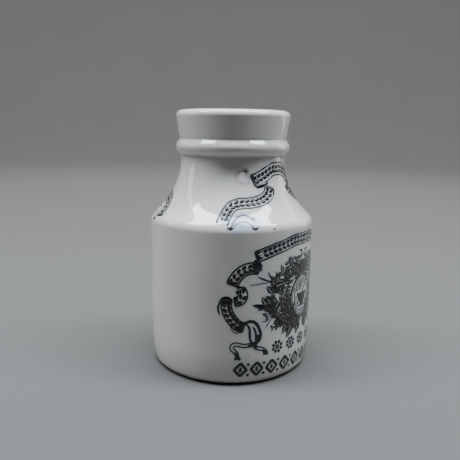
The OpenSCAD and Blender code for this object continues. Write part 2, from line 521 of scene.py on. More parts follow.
def surface_climb(z):
    """Millimetres along the surface for each millimetre of height."""
    return math.hypot(1.0, (glaze_radius(z + 0.3) - glaze_radius(z - 0.3)) / 0.6)


def on_jar(angle, z):
    """A point on the glaze, in metres: angle is in degrees to the right of the front."""
    r = glaze_radius(z) * MM
    turn = math.radians(angle)
    return Vector((r * math.sin(turn), -r * math.cos(turn), z * MM))


# ---------------------------------------------------------------------------------------------
# Finishes
# ---------------------------------------------------------------------------------------------


def finish(name):
    """A new material: returns it, its Nodes, its Principled shader, and the piece's own place."""
    material = bpy.data.materials.new(name)
    material.use_nodes = True
    nodes = Nodes(material.node_tree)
    shader = next(node for node in material.node_tree.nodes if node.type == "BSDF_PRINCIPLED")
    place = nodes.add("ShaderNodeTexCoord").outputs["Object"]
    return material, nodes, shader, place


def mixed(n, amount, one, other):
    """A colour between one and other; either is a plain (r, g, b) or a node's output."""
    node = n.add("ShaderNodeMix", data_type="RGBA")
    factor, first, second = node.inputs[0], node.inputs[6], node.inputs[7]
    for socket, value in ((factor, amount), (first, one), (second, other)):
        if isinstance(value, bpy.types.NodeSocket):
            n.tree.links.new(value, socket)
        else:
            socket.default_value = (*value, 1.0) if isinstance(value, tuple) else value
    return node.outputs[2]


def stored(n, name):
    """A value that a Geometry Nodes tree stored on the mesh."""
    return n.add("ShaderNodeAttribute", attribute_name=name).outputs["Fac"]


def bumped(n, shader, height, depth, strength):
    """Gives a shader fine relief, depth mm deep."""
    bump = n.add("ShaderNodeBump", {"Height": height, "Distance": depth * MM, "Strength": strength})
    n.tree.links.new(bump.outputs["Normal"], shader.inputs["Normal"])


def glossed(shader):
    """One layer of clear gloss: all the shine is the coat's, and hardly any the body's."""
    shader.inputs["Specular IOR Level"].default_value = 0.05
    shader.inputs["Coat Weight"].default_value = 1.0
    shader.inputs["Coat Roughness"].default_value = 0.035


# Marks in the glaze: (angle, z) on the jar, how far they spread in mm, and their colour.
SMEARED_INK = (0.42, 0.5, 0.66)
RUN_INK = (0.22, 0.28, 0.4)
# A brown halo of painted reflection, round the pale patches on the shoulder.
BROWN_PAINTED_REFLECTION = (0.36, 0.30, 0.27)
# A pale pinkish patch on the shoulder, beside the ribbon's end.
PALE_PATCH = (0.95, 0.86, 0.85)
MARKS = [(-52, 73, 6.5, SMEARED_INK), (-60, 74.5, 5.0, SMEARED_INK), (-42, 72.4, 4.0, SMEARED_INK),
         (-56, 73.4, 1.8, RUN_INK), (-53, 75, 1.9, RUN_INK), (-49.5, 75.7, 1.8, RUN_INK),
         (-46, 75.5, 1.8, RUN_INK), (-43, 74.7, 1.8, RUN_INK), (-41.4, 73.6, 1.6, RUN_INK),
         # A painted brown reflection, with pale patches laid over it.
         (-46.2, 91.4, 4.6, BROWN_PAINTED_REFLECTION), (-44, 93.6, 2.2, BROWN_PAINTED_REFLECTION),
         (-48.6, 90.8, 2.4, PALE_PATCH), (-44.8, 90.2, 2.2, PALE_PATCH), (-47, 92.2, 1.6, PALE_PATCH)]

# Pits and iron spots too large to be left to chance: (angle, z), length and half width in mm.
PITS = [(-43.9, 93.6, 1.9, 0.55), (-13.2, 103.2, 0.7, 0.3), (-28.8, 70.3, 1.4, 0.36),
        (-23.5, 70.6, 0.5, 0.2), (96, 42, 0.8, 0.3), (150, 81, 1.0, 0.35), (205, 30, 0.7, 0.28)]


def glaze_finish():
    """Clear gloss over off-white clay: mottled, pooled and darkened with painted shade in its hollows,
    stained, marked with a painted brown reflection and pale patches, lightly crazed and specked.
    """
    material, n, shader, place = finish("glaze")
    cloud = n.ranged(n.noise(place, 26.0, 5.0, 0.6), 0.3, 0.7)
    body = mixed(n, cloud, (0.735, 0.70, 0.655), (0.68, 0.64, 0.59))
    stain = n.ranged(n.noise(place, 11.0, 6.0, 0.68), 0.56, 0.78)
    body = mixed(n, n.math("MULTIPLY", stain, 0.45), body, (0.57, 0.51, 0.43))
    # Pooled glaze, darker also as painted shade in the groove, under the bead, at the foot and on the inside
    # floor.
    pooled_and_painted_shade = n.math("MULTIPLY", stored(n, "pool"), 0.55)
    body = mixed(n, pooled_and_painted_shade, body, (0.50, 0.49, 0.445))

    cell = n.add("ShaderNodeTexVoronoi", {"Vector": place, "Scale": 210.0, "Randomness": 1.0},
                 feature="DISTANCE_TO_EDGE").outputs["Distance"]
    crack = n.ranged(cell, 0.0, 0.018, 1.0, 0.0)
    aged = n.ranged(n.noise(place, 17.0, 3.0), 0.5, 0.72)
    crazed = n.math("MULTIPLY", n.math("MULTIPLY", crack, aged), 0.16)
    body = mixed(n, crazed, body, (0.42, 0.36, 0.29))

    grain = n.add("ShaderNodeTexVoronoi", {"Vector": place, "Scale": 330.0, "Randomness": 1.0})
    lot = n.add("ShaderNodeSeparateColor", {"Color": grain.outputs["Color"]}).outputs["Red"]
    chosen = n.math("GREATER_THAN", lot, 0.965)
    dot = n.ranged(grain.outputs["Distance"], 0.07, 0.16, 1.0, 0.0)
    speck = n.math("MULTIPLY", n.math("MULTIPLY", dot, chosen), 0.8)
    body = mixed(n, speck, body, (0.16, 0.13, 0.11))

    uneven = n.ranged(n.noise(place, 60.0, 3.0), 0.3, 0.75, 0.05, 0.38)
    bleed = n.math("MULTIPLY", stored(n, "bleed"), uneven)
    body = mixed(n, bleed, body, (0.30, 0.35, 0.44))
    # The marks: ink smears and runs, a painted brown reflection, and pale patches.
    for angle, z, reach, colour in MARKS:
        away = n.vector("LENGTH", n.vector("SUBTRACT", place, tuple(on_jar(angle, z))))
        mark = n.math("MULTIPLY", n.ranged(away, 0.4 * reach * MM, reach * MM, 0.9, 0.0, smooth=True),
                      n.ranged(n.noise(place, 150.0, 4.0, 0.6), 0.3, 0.6, 0.35, 1.0))
        body = mixed(n, mark, body, colour)
    n.tree.links.new(body, shader.inputs["Base Color"])

    rough = n.ranged(n.noise(place, 48.0, 4.0, 0.6), 0.25, 0.75, 0.10, 0.19)
    n.tree.links.new(rough, shader.inputs["Roughness"])
    glossed(shader)
    shader.inputs["Subsurface Weight"].default_value = 0.05
    shader.inputs["Subsurface Radius"].default_value = (1.0, 0.8, 0.6)
    shader.inputs["Subsurface Scale"].default_value = 0.8 * MM

    turned = n.add("ShaderNodeMapping", {"Vector": place, "Scale": (0.05, 0.05, 1.0)}).outputs["Vector"]
    rings = n.noise(turned, 900.0, 2.0)
    peel = n.noise(place, 330.0, 1.0)
    height = n.math("ADD", n.math("MULTIPLY", rings, 0.6), n.math("MULTIPLY", peel, 0.4))
    bumped(n, shader, height, 0.05, 0.35)
    return material


def clay_finish():
    """Fired clay, dry and sanded by years of standing on shelves."""
    material, n, shader, place = finish("fired_clay")
    tone = n.ranged(n.noise(place, 45.0, 6.0, 0.65), 0.3, 0.7)
    body = mixed(n, tone, (0.66, 0.585, 0.47), (0.54, 0.45, 0.34))
    dirt = n.ranged(n.noise(place, 15.0, 6.0, 0.7), 0.52, 0.7)
    body = mixed(n, n.math("MULTIPLY", dirt, 0.6), body, (0.25, 0.21, 0.17))
    grains = n.add("ShaderNodeTexVoronoi", {"Vector": place, "Scale": 900.0}).outputs["Distance"]
    dots = n.ranged(grains, 0.08, 0.2, 0.5, 0.0)
    n.tree.links.new(mixed(n, dots, body, (0.30, 0.24, 0.18)), shader.inputs["Base Color"])
    n.tree.links.new(n.ranged(tone, 0.0, 1.0, 0.78, 0.93), shader.inputs["Roughness"])
    bumped(n, shader, n.noise(place, 1500.0, 4.0, 0.7), 0.12, 0.8)
    return material


def ink_finish():
    """Black transfer ink under the same gloss, printed a little unevenly."""
    material, n, shader, place = finish("ink")
    press = n.ranged(n.noise(place, 260.0, 5.0, 0.75), 0.52, 0.82)
    ink = mixed(n, press, (0.002, 0.0022, 0.0026), (0.03, 0.033, 0.04))
    missed = n.ranged(n.noise(place, 1700.0, 2.0, 0.6), 0.70, 0.8, 0.0, 0.4)
    ink = mixed(n, missed, ink, (0.42, 0.42, 0.41))
    n.tree.links.new(ink, shader.inputs["Base Color"])
    n.tree.links.new(n.ranged(n.noise(place, 48.0, 4.0), 0.25, 0.75, 0.11, 0.2), shader.inputs["Roughness"])
    glossed(shader)
    bumped(n, shader, n.noise(place, 330.0, 1.0), 0.05, 0.2)
    return material


def iron_finish():
    """Iron grains that melted into the glaze in the kiln."""
    material, n, shader, place = finish("iron_grain")
    tone = n.noise(place, 1400.0, 3.0)
    n.tree.links.new(mixed(n, tone, (0.05, 0.035, 0.025), (0.15, 0.10, 0.07)), shader.inputs["Base Color"])
    n.tree.links.new(n.ranged(tone, 0.3, 0.7, 0.2, 0.45), shader.inputs["Roughness"])
    bumped(n, shader, tone, 0.05, 0.5)
    return material


def cork_finish():
    """Natural cork: warm tan, with dark pores drawn out along the bark."""
    material, n, shader, place = finish("cork_bark")
    tone = n.ranged(n.noise(place, 130.0, 6.0, 0.7), 0.3, 0.7)
    bark = mixed(n, tone, (0.46, 0.285, 0.145), (0.33, 0.19, 0.09))
    cells = n.add("ShaderNodeTexVoronoi", {"Vector": place, "Scale": 700.0}).outputs["Distance"]
    bark = mixed(n, n.ranged(cells, 0.2, 0.6, 0.0, 0.35), bark, (0.56, 0.38, 0.21))
    drawn = n.add("ShaderNodeMapping", {"Vector": place, "Scale": (1.0, 0.35, 0.8)}).outputs["Vector"]
    pore = n.ranged(n.noise(drawn, 300.0, 3.0, 0.55), 0.62, 0.68)
    bark = mixed(n, n.math("MULTIPLY", pore, 0.85), bark, (0.09, 0.045, 0.025))
    n.tree.links.new(bark, shader.inputs["Base Color"])
    shader.inputs["Roughness"].default_value = 0.88
    shader.inputs["Sheen Weight"].default_value = 0.15
    rough = n.math("SUBTRACT", n.noise(place, 900.0, 4.0, 0.7), pore)
    bumped(n, shader, rough, 0.25, 0.7)
    return material


def stage_finish():
    """Matt pale grey, very slightly clouded."""
    material, n, shader, place = finish("pale_floor")
    tone = n.noise(place, 6.0, 4.0)
    n.tree.links.new(mixed(n, tone, (0.112, 0.107, 0.1), (0.124, 0.119, 0.112)), shader.inputs["Base Color"])
    shader.inputs["Roughness"].default_value = 0.75
    return material


# ---------------------------------------------------------------------------------------------
# Drawing the print
# ---------------------------------------------------------------------------------------------

# A place on the print is (angle, z): degrees to the right of the jar's front, and millimetres up.
STEPS_BETWEEN_PLACES = 8


def smooth_path(places):
    """A smooth path through a few chosen places."""
    padded = [places[0], *places, places[-1]]
    path = []
    for four in zip(padded, padded[1:], padded[2:], padded[3:]):
        for step in range(STEPS_BETWEEN_PLACES):
            t = step / STEPS_BETWEEN_PLACES
            path.append(tuple(
                0.5 * (2 * b + (c - a) * t + (2 * a - 5 * b + 4 * c - d) * t ** 2
                       + (3 * b - a - 3 * c + d) * t ** 3)
                for a, b, c, d in zip(*four)))
    return path + [places[-1]]


def beside(path, gap):
    """The path moved gap mm to its left, measured on the jar's surface."""
    moved = []
    for i, (angle, z) in enumerate(path):
        before, after = path[max(0, i - 1)], path[min(len(path) - 1, i + 1)]
        r, climb = glaze_radius(z), surface_climb(z)
        across = math.radians(after[0] - before[0]) * r
        up = (after[1] - before[1]) * climb
        length = math.hypot(across, up)
        moved.append((angle - math.degrees(up / length * gap / r), z + across / length * gap / climb))
    return moved


def mirrored(places):
    """The same places on the other side of the front."""
    return [(-angle, z) for angle, z in places]


class Drawing:
    """Centre lines on the jar, each point with its own half width, for the printed-line tree."""

    def __init__(self):
        self.points = []
        self.edges = []
        self.halves = []

    def draw(self, path, half, closed=False):
        """Adds one line. half is its half width in mm, or a function of the share of its length."""
        first = len(self.points)
        last = first + len(path) - 1
        for i, place in enumerate(path):
            share = i / (len(path) - 1)
            self.points.append(on_jar(*place))
            self.halves.append((half(share) if callable(half) else half) * MM)
        self.edges += [(k, k + 1) for k in range(first, last)]
        if closed:
            self.edges.append((last, first))

    def mesh(self, name):
        """All the lines as a mesh of edges, which holds the half widths."""
        mesh = bpy.data.meshes.new(name)
        mesh.from_pydata(self.points, self.edges, [])
        half = mesh.attributes.new("half_width", "FLOAT", "POINT")
        half.data.foreach_set("value", self.halves)
        return mesh


def tapered(half, tip=0.12):
    """Half widths of a line that swells in its middle and thins to its ends."""
    return lambda share: tip + (half - tip) * math.sin(math.pi * share)


class Motif:
    """A flat shape made of strokes in the XY plane, to be repeated along a path."""

    def __init__(self, name):
        self.name = name
        self.points = []
        self.faces = []

    def stroke(self, path, half, closed=False):
        """A strip along a path of (x, y) in mm, two faces across so that it bends with the jar."""
        first = len(self.points)
        count = len(path)
        for i, (x, y) in enumerate(path):
            before = path[i - 1] if closed or i else path[0]
            after = path[(i + 1) % count] if closed or i < count - 1 else path[-1]
            run, rise = after[0] - before[0], after[1] - before[1]
            length = math.hypot(run, rise)
            share = i / (count - 1)
            reach = half(share) if callable(half) else half
            for side in (-1, 0, 1):
                self.points.append(((x - rise / length * reach * side) * MM,
                                    (y + run / length * reach * side) * MM, 0))
        for i in range(count if closed else count - 1):
            here, there = first + 3 * i, first + 3 * ((i + 1) % count)
            for k in (0, 1):
                self.faces.append((here + k, there + k, there + k + 1, here + k + 1))

    def ring(self, x, y, radius, half, points):
        """A closed round stroke about (x, y)."""
        turns = [math.tau * i / points for i in range(points)]
        self.stroke([(x + radius * math.cos(a), y + radius * math.sin(a)) for a in turns], half, closed=True)

    def blade(self, start, end, half):
        """A lens-shaped stroke from start to end."""
        (x0, y0), (x1, y1) = start, end
        self.stroke([(x0 + (x1 - x0) * i / 5, y0 + (y1 - y0) * i / 5) for i in range(6)], tapered(half, 0.05))

    def piece(self):
        """The motif as an object, for the printed-row tree to repeat."""
        mesh = bpy.data.meshes.new(self.name)
        mesh.from_pydata(self.points, [], self.faces)
        shape = bpy.data.objects.new(self.name, mesh)
        bpy.context.collection.objects.link(shape)
        return shape


def leaf_motif():
    """A leaf with a bare midrib, growing along +X from its stalk."""
    leaf = Motif("leaf")
    for side in (-1, 1):
        shares = [i / 6 for i in range(7)]
        rib = [(0.1 + 4.6 * t, side * (0.13 + 0.62 * math.sin(math.pi * t ** 0.7))) for t in shares]
        leaf.stroke(rib, lambda share: 0.05 + 0.56 * math.sin(math.pi * share ** 0.7))
    return leaf.piece()


def braid_motif():
    """Two leaves meeting in a point, the link of the laurel braid that fills the ribbons."""
    link = Motif("braid_link")
    for side in (-1, 1):
        link.blade((-1.25, side * 1.6), (1.35, side * 0.3), 0.86)
    return link.piece()


def lozenge_motif():
    """A lozenge in a lozenge, with a pearl above and below the gap beside it."""
    unit = Motif("lozenge")
    corners = [(2.75, 0), (0, 3.1), (-2.75, 0), (0, -3.1)]
    edge = []
    for here, there in zip(corners, corners[1:] + corners[:1]):
        edge += [(here[0] + (there[0] - here[0]) * t, here[1] + (there[1] - here[1]) * t)
                 for t in (0.06, 0.5, 0.94)]
    unit.stroke(edge, 0.68, closed=True)
    unit.blade((0, -1.5), (0, 1.5), 0.75)
    for y in (-2.55, 2.55):
        unit.ring(3.35, y, 0.34, 0.34, 10)
    return unit.piece()


def rosette_motif():
    """Eight petals round a ring."""
    unit = Motif("rosette")
    unit.ring(0, 0, 0.7, 0.4, 12)
    for petal in range(8):
        turn = math.tau * (petal + 0.5) / 8
        out = (math.cos(turn), math.sin(turn))
        unit.blade((out[0] * 1.2, out[1] * 1.2), (out[0] * 3.2, out[1] * 3.2), 0.8)
    return unit.piece()


# ---------------------------------------------------------------------------------------------
# The print's parts
# ---------------------------------------------------------------------------------------------

BORDER = 0.36
RIBBON_W = 4.9
SHOULDER_RIBBON_W = 5.4
BRAID_SPACING = 2.3
LEAF_SPACING = 2.35
LOZENGE_Z = 7.8
LOZENGE_SPACING = 6.75
ROSETTE_Z = 16.7
ROSETTE_SPACING = 8.1


def rolled_end(lines, path, width, end, reach, strokes=7):
    """Spiked strokes that run in from one end of a ribbon and darken it where it rolls under."""
    inwards = path if end == 0 else path[::-1]
    room = 0.0
    count = 1
    while count < len(inwards) - 1 and room < reach:
        here, there = on_jar(*inwards[count - 1]), on_jar(*inwards[count])
        room += (there - here).length / MM
        count += 1
    for k in range(strokes):
        gap = width * ((k + 0.5) / strokes - 0.5)
        line = beside(inwards, gap)[:max(3, round(count * (0.65 + 0.35 * ((k * 3) % 4) / 3)))]
        lines.draw(line, lambda share: 0.74 * width / strokes * (1 - share) ** 0.5 + 0.04)


def panel(lines, rows, places, width, rolls=(0, 0), bare=(3, 3), shaded=0):
    """One stretch of ribbon: borders, ends that roll under, and the path of its braid."""
    path = smooth_path(places)
    left, right = beside(path, width / 2), beside(path, -width / 2)
    for edge in (left, right):
        lines.draw(edge, BORDER)
    if shaded:
        lines.draw(beside(path, shaded * (width / 2 - 0.75)), tapered(0.2, 0.12))
    for end, reach in zip((0, -1), rolls):
        if reach:
            lines.draw([left[end], path[end], right[end]], BORDER)
            rolled_end(lines, path, width, end, reach)
    rows.append(path[bare[0]:len(path) - bare[1]])


def fold(lines, places, half, tip=0.55):
    """The dark underside of a ribbon where it turns behind itself."""
    lines.draw(smooth_path(places), tapered(half, half * tip))


def body_ribbon(side):
    """Half of the ribbon over the wreath: four panels, a bow and two tails. side is -1 or 1."""
    lines, rows = Drawing(), []

    def placed(places):
        return [(side * angle, z) for angle, z in places]

    panel(lines, rows, placed([(0, 64.1), (10, 64.1), (20, 62.7), (30, 61), (41.2, 58.6)]), RIBBON_W,
          (0, 2.6), (0, 5), side)
    fold(lines, placed([(42.8, 56.8), (40.6, 55.6), (39.2, 54), (39.4, 52.4)]), 1.7, 0.7)
    fold(lines, placed([(43.5, 55.4), (41.4, 54), (40.2, 52.6)]), 1.3, 0.7)
    panel(lines, rows, placed([(39.4, 53.6), (44, 53.8), (48.6, 53), (52.4, 51), (55, 48.6),
                               (56.2, 46.6)]), RIBBON_W, (2.6, 2.4), (9, 5), -side)
    fold(lines, placed([(53.8, 46.2), (51.6, 45.4), (50.4, 44.4)]), 0.9)
    panel(lines, rows, placed([(51.4, 44.9), (49.6, 43.2), (49.4, 41.2), (51, 39.7), (54.6, 39.2)]),
          RIBBON_W - 0.9, (1.0, 1.4), (5, 5))
    fold(lines, placed([(56.2, 38.8), (57.6, 40.2), (60, 40.6), (62.4, 39.9), (64.2, 38.2)]), 1.05)
    lines.draw(smooth_path(placed([(63.6, 39), (64.8, 37.2), (64.8, 35.2), (63.6, 33)])), tapered(0.5, 0.2))
    panel(lines, rows, placed([(59.6, 39.2), (59.7, 36.8), (58.4, 33.8), (55.6, 30.8), (52, 28.4),
                               (48.4, 27.6)]), RIBBON_W - 0.5, (2.0, 3.4), (5, 7), -side)
    fold(lines, placed([(57, 28), (55.4, 26), (52.8, 25), (50.4, 25.6)]), 0.22, 0.5)

    outer_loop = [(48.6, 28.4), (45.8, 29.9), (42.8, 30.1), (40, 28.8), (38, 26.4), (37, 23.8),
                  (37.8, 21.4), (40.2, 19.9)]
    lines.draw(smooth_path(placed(outer_loop)), 0.72)
    fold(lines, placed([(46.4, 29), (44.6, 26.8), (44.3, 24), (43.9, 21.6), (42, 19.9)]), 0.62)
    fold(lines, placed([(42.4, 27.6), (40.9, 26), (40.2, 23.6), (40.4, 20.8)]), 0.55)
    fold(lines, placed([(38.6, 24), (39.4, 22.2), (40.4, 20.6)]), 0.6)
    lines.draw(smooth_path(placed([(43, 19.8), (41, 20), (39.4, 19.4)])), 0.85)
    for tail in ([(41.6, 19.8), (45, 19.3), (49, 19.3), (52, 19.9), (54.8, 19.8), (56, 18.4),
                  (54.4, 16.8), (52.8, 15.6), (52, 13.6)],
                 [(41.2, 19.6), (40, 18), (37.6, 17.4), (35.4, 17), (33.6, 15.9), (32.4, 14.7)]):
        path = smooth_path(placed(tail))
        for gap in (-0.72, 0.72):
            lines.draw(beside(path, gap), 0.3)
        for end, reach in ((0, 3), (-1, 3.4)):
            rolled_end(lines, path, 1.7, end, reach, 3)
    lines.draw(placed([(54.2, 13.2), (52, 13.3), (50, 13)]), 0.62)
    lines.draw(placed([(35, 14.6), (33, 14.6), (31, 14.3)]), 0.55)
    return lines, rows


def shoulder_ribbon(side, middle):
    """Half of a ribbon over the shoulder: an arch at the neck and a wave down to the edge."""
    lines, rows = Drawing(), []

    def placed(places):
        return [(middle + side * angle, z) for angle, z in places]

    panel(lines, rows, placed([(0, 94.3), (7, 94.2), (13, 93.2), (20, 91.7), (27, 90.4), (33, 89.4)]),
          SHOULDER_RIBBON_W, (0, 3.4), (0, 5))
    fold(lines, placed([(30, 86.6), (26, 87.2), (21, 87.8), (16, 88.6)]), 0.95, 0.5)
    tail_roll = 3.0 if side > 0 else 0
    panel(lines, rows, placed([(15.6, 86.6), (18, 84.1), (23, 82.4), (30, 81.1), (38, 80.5),
                               (46, 80.3), (53, 79.2), (57.4, 76), (59.6, 72.4)]), SHOULDER_RIBBON_W - 0.5,
          (1.6, tail_roll), (4, 5))
    under = smooth_path(placed([(53.6, 71), (51.4, 73.6), (47.5, 75.4), (42, 75.4), (37.2, 73.8)]))
    lines.draw(under, 0.24)
    below = smooth_path(placed([(52, 71.4), (48.5, 73), (43.5, 73.2), (39, 71.4)]))
    lines.draw(below, 0.2)
    lines.draw(placed([(56, 71.2), (54, 70.7), (51.8, 71)]), tapered(0.8, 0.3))
    lines.draw(placed([(40.4, 71.1), (38, 70.6), (35.8, 71)]), tapered(0.65, 0.3))
    return lines, rows


def wreath_stems():
    """Stems of the leafy wreath round the medallion, each with the size of its leaves."""
    return [
        ([(3, 26), (12, 25.2), (20, 28), (26.5, 32), (30, 37), (29, 42.5), (25, 47)], 1.15),
        ([(6, 28.4), (14, 28.8), (19.6, 32.4), (22, 38), (20.6, 43.6), (16.5, 48)], 1.1),
        ([(9.6, 29.6), (14, 32), (17, 36.4), (17, 41), (14.6, 45)], 0.8),
        ([(2, 27.4), (7, 25), (12, 26.6)], 0.85),
        ([(24, 42), (27, 45), (27.6, 48)], 0.95),
        ([(26, 37), (30, 37.2), (34, 37)], 1.1),
        ([(25, 33), (29, 33), (32.4, 32.2)], 0.85),
        ([(21, 28.6), (25, 26.6), (28, 26.2)], 0.8),
        ([(3, 48), (8, 50.2), (13, 52.8), (16, 54.4)], 1.0),
        ([(1, 48), (2.6, 51.6), (3.4, 55.4)], 0.95),
        ([(7, 50), (8.6, 53), (9.4, 55.2)], 0.85),
        ([(13, 48), (17, 49.6), (21, 50.8)], 0.85),
    ]


def wreath_twigs():
    """Bare twigs and long blades that stand out of the wreath, each with its half width in mm."""
    return [
        ([(28, 46.6), (33, 47.8), (37, 48.9), (40, 50)], 0.42),
        ([(28.6, 47.8), (31, 49.4), (33, 51.8)], 0.42),
        ([(31, 47), (37, 46.8), (45, 46.3)], 0.2),
        ([(29, 47.4), (26.6, 50), (27.6, 51.6)], 0.3),
        ([(32, 36.6), (36, 36.2), (39, 36.8), (42.8, 37.3)], 1.15),
        ([(28.6, 30.6), (31.6, 28.6), (33.6, 26.6)], 0.26),
        ([(30.6, 30.6), (33.8, 29.4), (36.6, 29.8)], 0.2),
        ([(1, 57.4), (3, 58.8), (6, 59)], 0.5),
    ]


# The medallion's own sizes, in mm from its middle; the mortar is (height above its foot, half width).
MEDAL_Z = 37.6
MEDAL_HALF_W = 8.8
MEDAL_HALF_H = 9.8
MORTAR_FOOT = -5.4
MORTAR = [(0, 2.8), (0.8, 2.7), (1.3, 1.3), (1.9, 1.6), (2.7, 2.8), (4.2, 3.6), (5.6, 4.0), (5.9, 4.5),
          (6.7, 4.5)]
PESTLE = ((0.7, 1.6), (4.4, 6.4))
HATCH_PITCH = 1.22
HATCH_STEP = 0.3


def mortar_half(height):
    """Half width of the mortar at a height above its foot, in mm; 0 above and below it."""
    for (h0, w0), (h1, w1) in zip(MORTAR, MORTAR[1:]):
        if h0 <= height <= h1:
            return w0 + (w1 - w0) * (height - h0) / (h1 - h0)
    return 0


def hatched(x, y):
    """Whether the medallion's ground is hatched at (x, y) mm from its middle."""
    if (x / (MEDAL_HALF_W - 1.6)) ** 2 + (y / (MEDAL_HALF_H - 1.6)) ** 2 > 1:
        return False
    height = min(max(y - MORTAR_FOOT, 0), MORTAR[-1][0])
    if abs(y - MORTAR_FOOT - height) < 0.7 and abs(x) < mortar_half(height) + 0.7:
        return False
    (x0, y0), (x1, y1) = PESTLE
    along = ((x - x0) * (x1 - x0) + (y - y0) * (y1 - y0)) / ((x1 - x0) ** 2 + (y1 - y0) ** 2)
    along = min(max(along, 0), 1)
    return math.hypot(x - x0 - along * (x1 - x0), y - y0 - along * (y1 - y0)) > 1.7


def medal_place(x, y):
    """Where (x, y) mm from the medallion's middle is on the jar."""
    return math.degrees(x / BODY_R), MEDAL_Z + y


def medallion():
    """An oval frame, hatched behind a mortar and pestle."""
    frame_lines, mortar_lines = Drawing(), Drawing()
    for grow_by, half in ((0, 0.62), (-1.15, 0.2)):
        turns = [math.tau * i / 40 for i in range(40)]
        frame_lines.draw([medal_place((MEDAL_HALF_W + grow_by) * math.cos(a),
                                      (MEDAL_HALF_H + grow_by) * math.sin(a)) for a in turns],
                         half, closed=True)
    for column in range(-6, 7):
        run = []
        for step in range(-32, 34):
            x, y = column * HATCH_PITCH, step * HATCH_STEP
            if hatched(x, y):
                run.append(medal_place(x, y))
                continue
            if len(run) > 2:
                frame_lines.draw(run, 0.36)
            run = []
    tall = MORTAR[-1][0]
    mortar_lines.draw([medal_place(0, MORTAR_FOOT + tall * i / 24) for i in range(25)],
                      lambda share: mortar_half(min(share * tall, tall - 0.01)))
    (x0, y0), (x1, y1) = PESTLE
    mortar_lines.draw([medal_place(x0 + (x1 - x0) * i / 12, y0 + (y1 - y0) * i / 12) for i in range(13)],
                      lambda share: 0.45 + 0.65 * share ** 3)
    return frame_lines, mortar_lines


def print_mesh(name, seeds, tree, sizes):
    """One printed piece from one or more seed meshes: each is laid on the glaze and thickened."""
    parts = [grow(f"{name}_{i}", seed, tree, {**sizes, **own}, INK_DEPTH)
             for i, (seed, own) in enumerate(seeds)]
    return joined(name, parts)


def joined(name, parts):
    """Several pieces as one, under a new name."""
    first = parts[0]
    with bpy.context.temp_override(active_object=first, object=first, selected_objects=parts,
                                   selected_editable_objects=parts):
        bpy.ops.object.join()
    first.name = name
    first.data.name = name
    return first


def path_mesh(name, paths):
    """Paths for the printed-row tree, which needs no widths."""
    lines = Drawing()
    for path in paths:
        lines.draw(path, 0)
    return lines.mesh(name)


# ---------------------------------------------------------------------------------------------
# Making the jar
# ---------------------------------------------------------------------------------------------

GLAZE = glaze_finish()
CLAY = clay_finish()
INK = ink_finish()
IRON = iron_finish()
CORK = cork_finish()

TURNED = turned_ware_tree()
LINE = printed_line_tree()
ROW = printed_row_tree()
SPECKLE = speckle_tree()
BLEED = ink_bleed_tree()

wall = {"Segments": SEGMENTS, "Wander": WANDER * MM, "Ridges": RIDGES * MM,
        "Still radius": (MOUTH_R + 0.6) * MM}

bare_glaze = grow("bare_glaze", profile_mesh("glaze_profile", glaze_coat_profile()), TURNED,
                  {**wall, "Material": GLAZE})
clay = grow("fired_clay_body", profile_mesh("clay_profile", clay_profile()), TURNED,
            {**wall, "Material": CLAY})
under_glaze = grow("recess_glaze", profile_mesh("recess_profile", base_glaze_profile()), TURNED,
                   {**wall, "Material": GLAZE})

# The print, on the front of the body and on both sides of the shoulder.
line_sizes = {"Glaze": bare_glaze, "Step": 0.7 * MM, "Nib points": 3, "Lift": INK_LIFT * MM,
              "Material": INK}
row_sizes = {**line_sizes, "First size": 1.0, "Last size": 1.0, "Variety": 0.03, "Seed": 1}

link = braid_motif()
leaf = leaf_motif()
lozenge = lozenge_motif()
rosette = rosette_motif()

body_halves = [body_ribbon(side) for side in (-1, 1)]
shoulder_halves = [shoulder_ribbon(side, middle) for middle in (-4, 181) for side in (-1, 1)]

ribbon_lines = print_mesh(
    "ribbon_outlines", [(lines.mesh("ribbon"), {}) for lines, rows in body_halves], LINE, line_sizes)
ribbon_row = print_mesh(
    "ribbon_ornament", [(path_mesh("row", rows), {}) for lines, rows in body_halves], ROW,
    {**row_sizes, "Motif": link, "Spacing": BRAID_SPACING * MM})
shoulder_lines = print_mesh(
    "shoulder_ribbon_outlines", [(lines.mesh("ribbon"), {}) for lines, rows in shoulder_halves], LINE,
    line_sizes)
shoulder_row = print_mesh(
    "shoulder_ribbon_ornament", [(path_mesh("row", rows), {}) for lines, rows in shoulder_halves], ROW,
    {**row_sizes, "Motif": link, "Spacing": BRAID_SPACING * MM})

stems = Drawing()
leaf_seeds = []
for seed, (places, size) in enumerate(wreath_stems()):
    for half in (smooth_path(places), mirrored(smooth_path(places))):
        stems.draw(half, lambda share, size=size: 0.2 + 0.75 * size * (1 - share))
        for turn in (-0.85, 0.85):
            leaf_seeds.append((path_mesh("stem", [half]),
                               {"Spacing": LEAF_SPACING * size * MM, "Turn": turn, "First size": size,
                                "Last size": 0.7 * size, "Seed": seed + 10}))
for places, half_width in wreath_twigs():
    for twig in (smooth_path(places), mirrored(smooth_path(places))):
        stems.draw(twig, tapered(half_width, 0.12))
wreath = print_mesh("wreath_stems", [(stems.mesh("stems"), {})], LINE, line_sizes)
leaves = print_mesh("wreath_leaves", leaf_seeds, ROW, {**row_sizes, "Motif": leaf, "Variety": 0.45})

frame_lines, mortar_lines = medallion()
medal = print_mesh("medallion_frame", [(frame_lines.mesh("frame"), {})], LINE, line_sizes)
mortar = print_mesh("mortar_and_pestle", [(mortar_lines.mesh("mortar"), {})], LINE,
                    {**line_sizes, "Step": 0.35 * MM, "Nib points": 15})

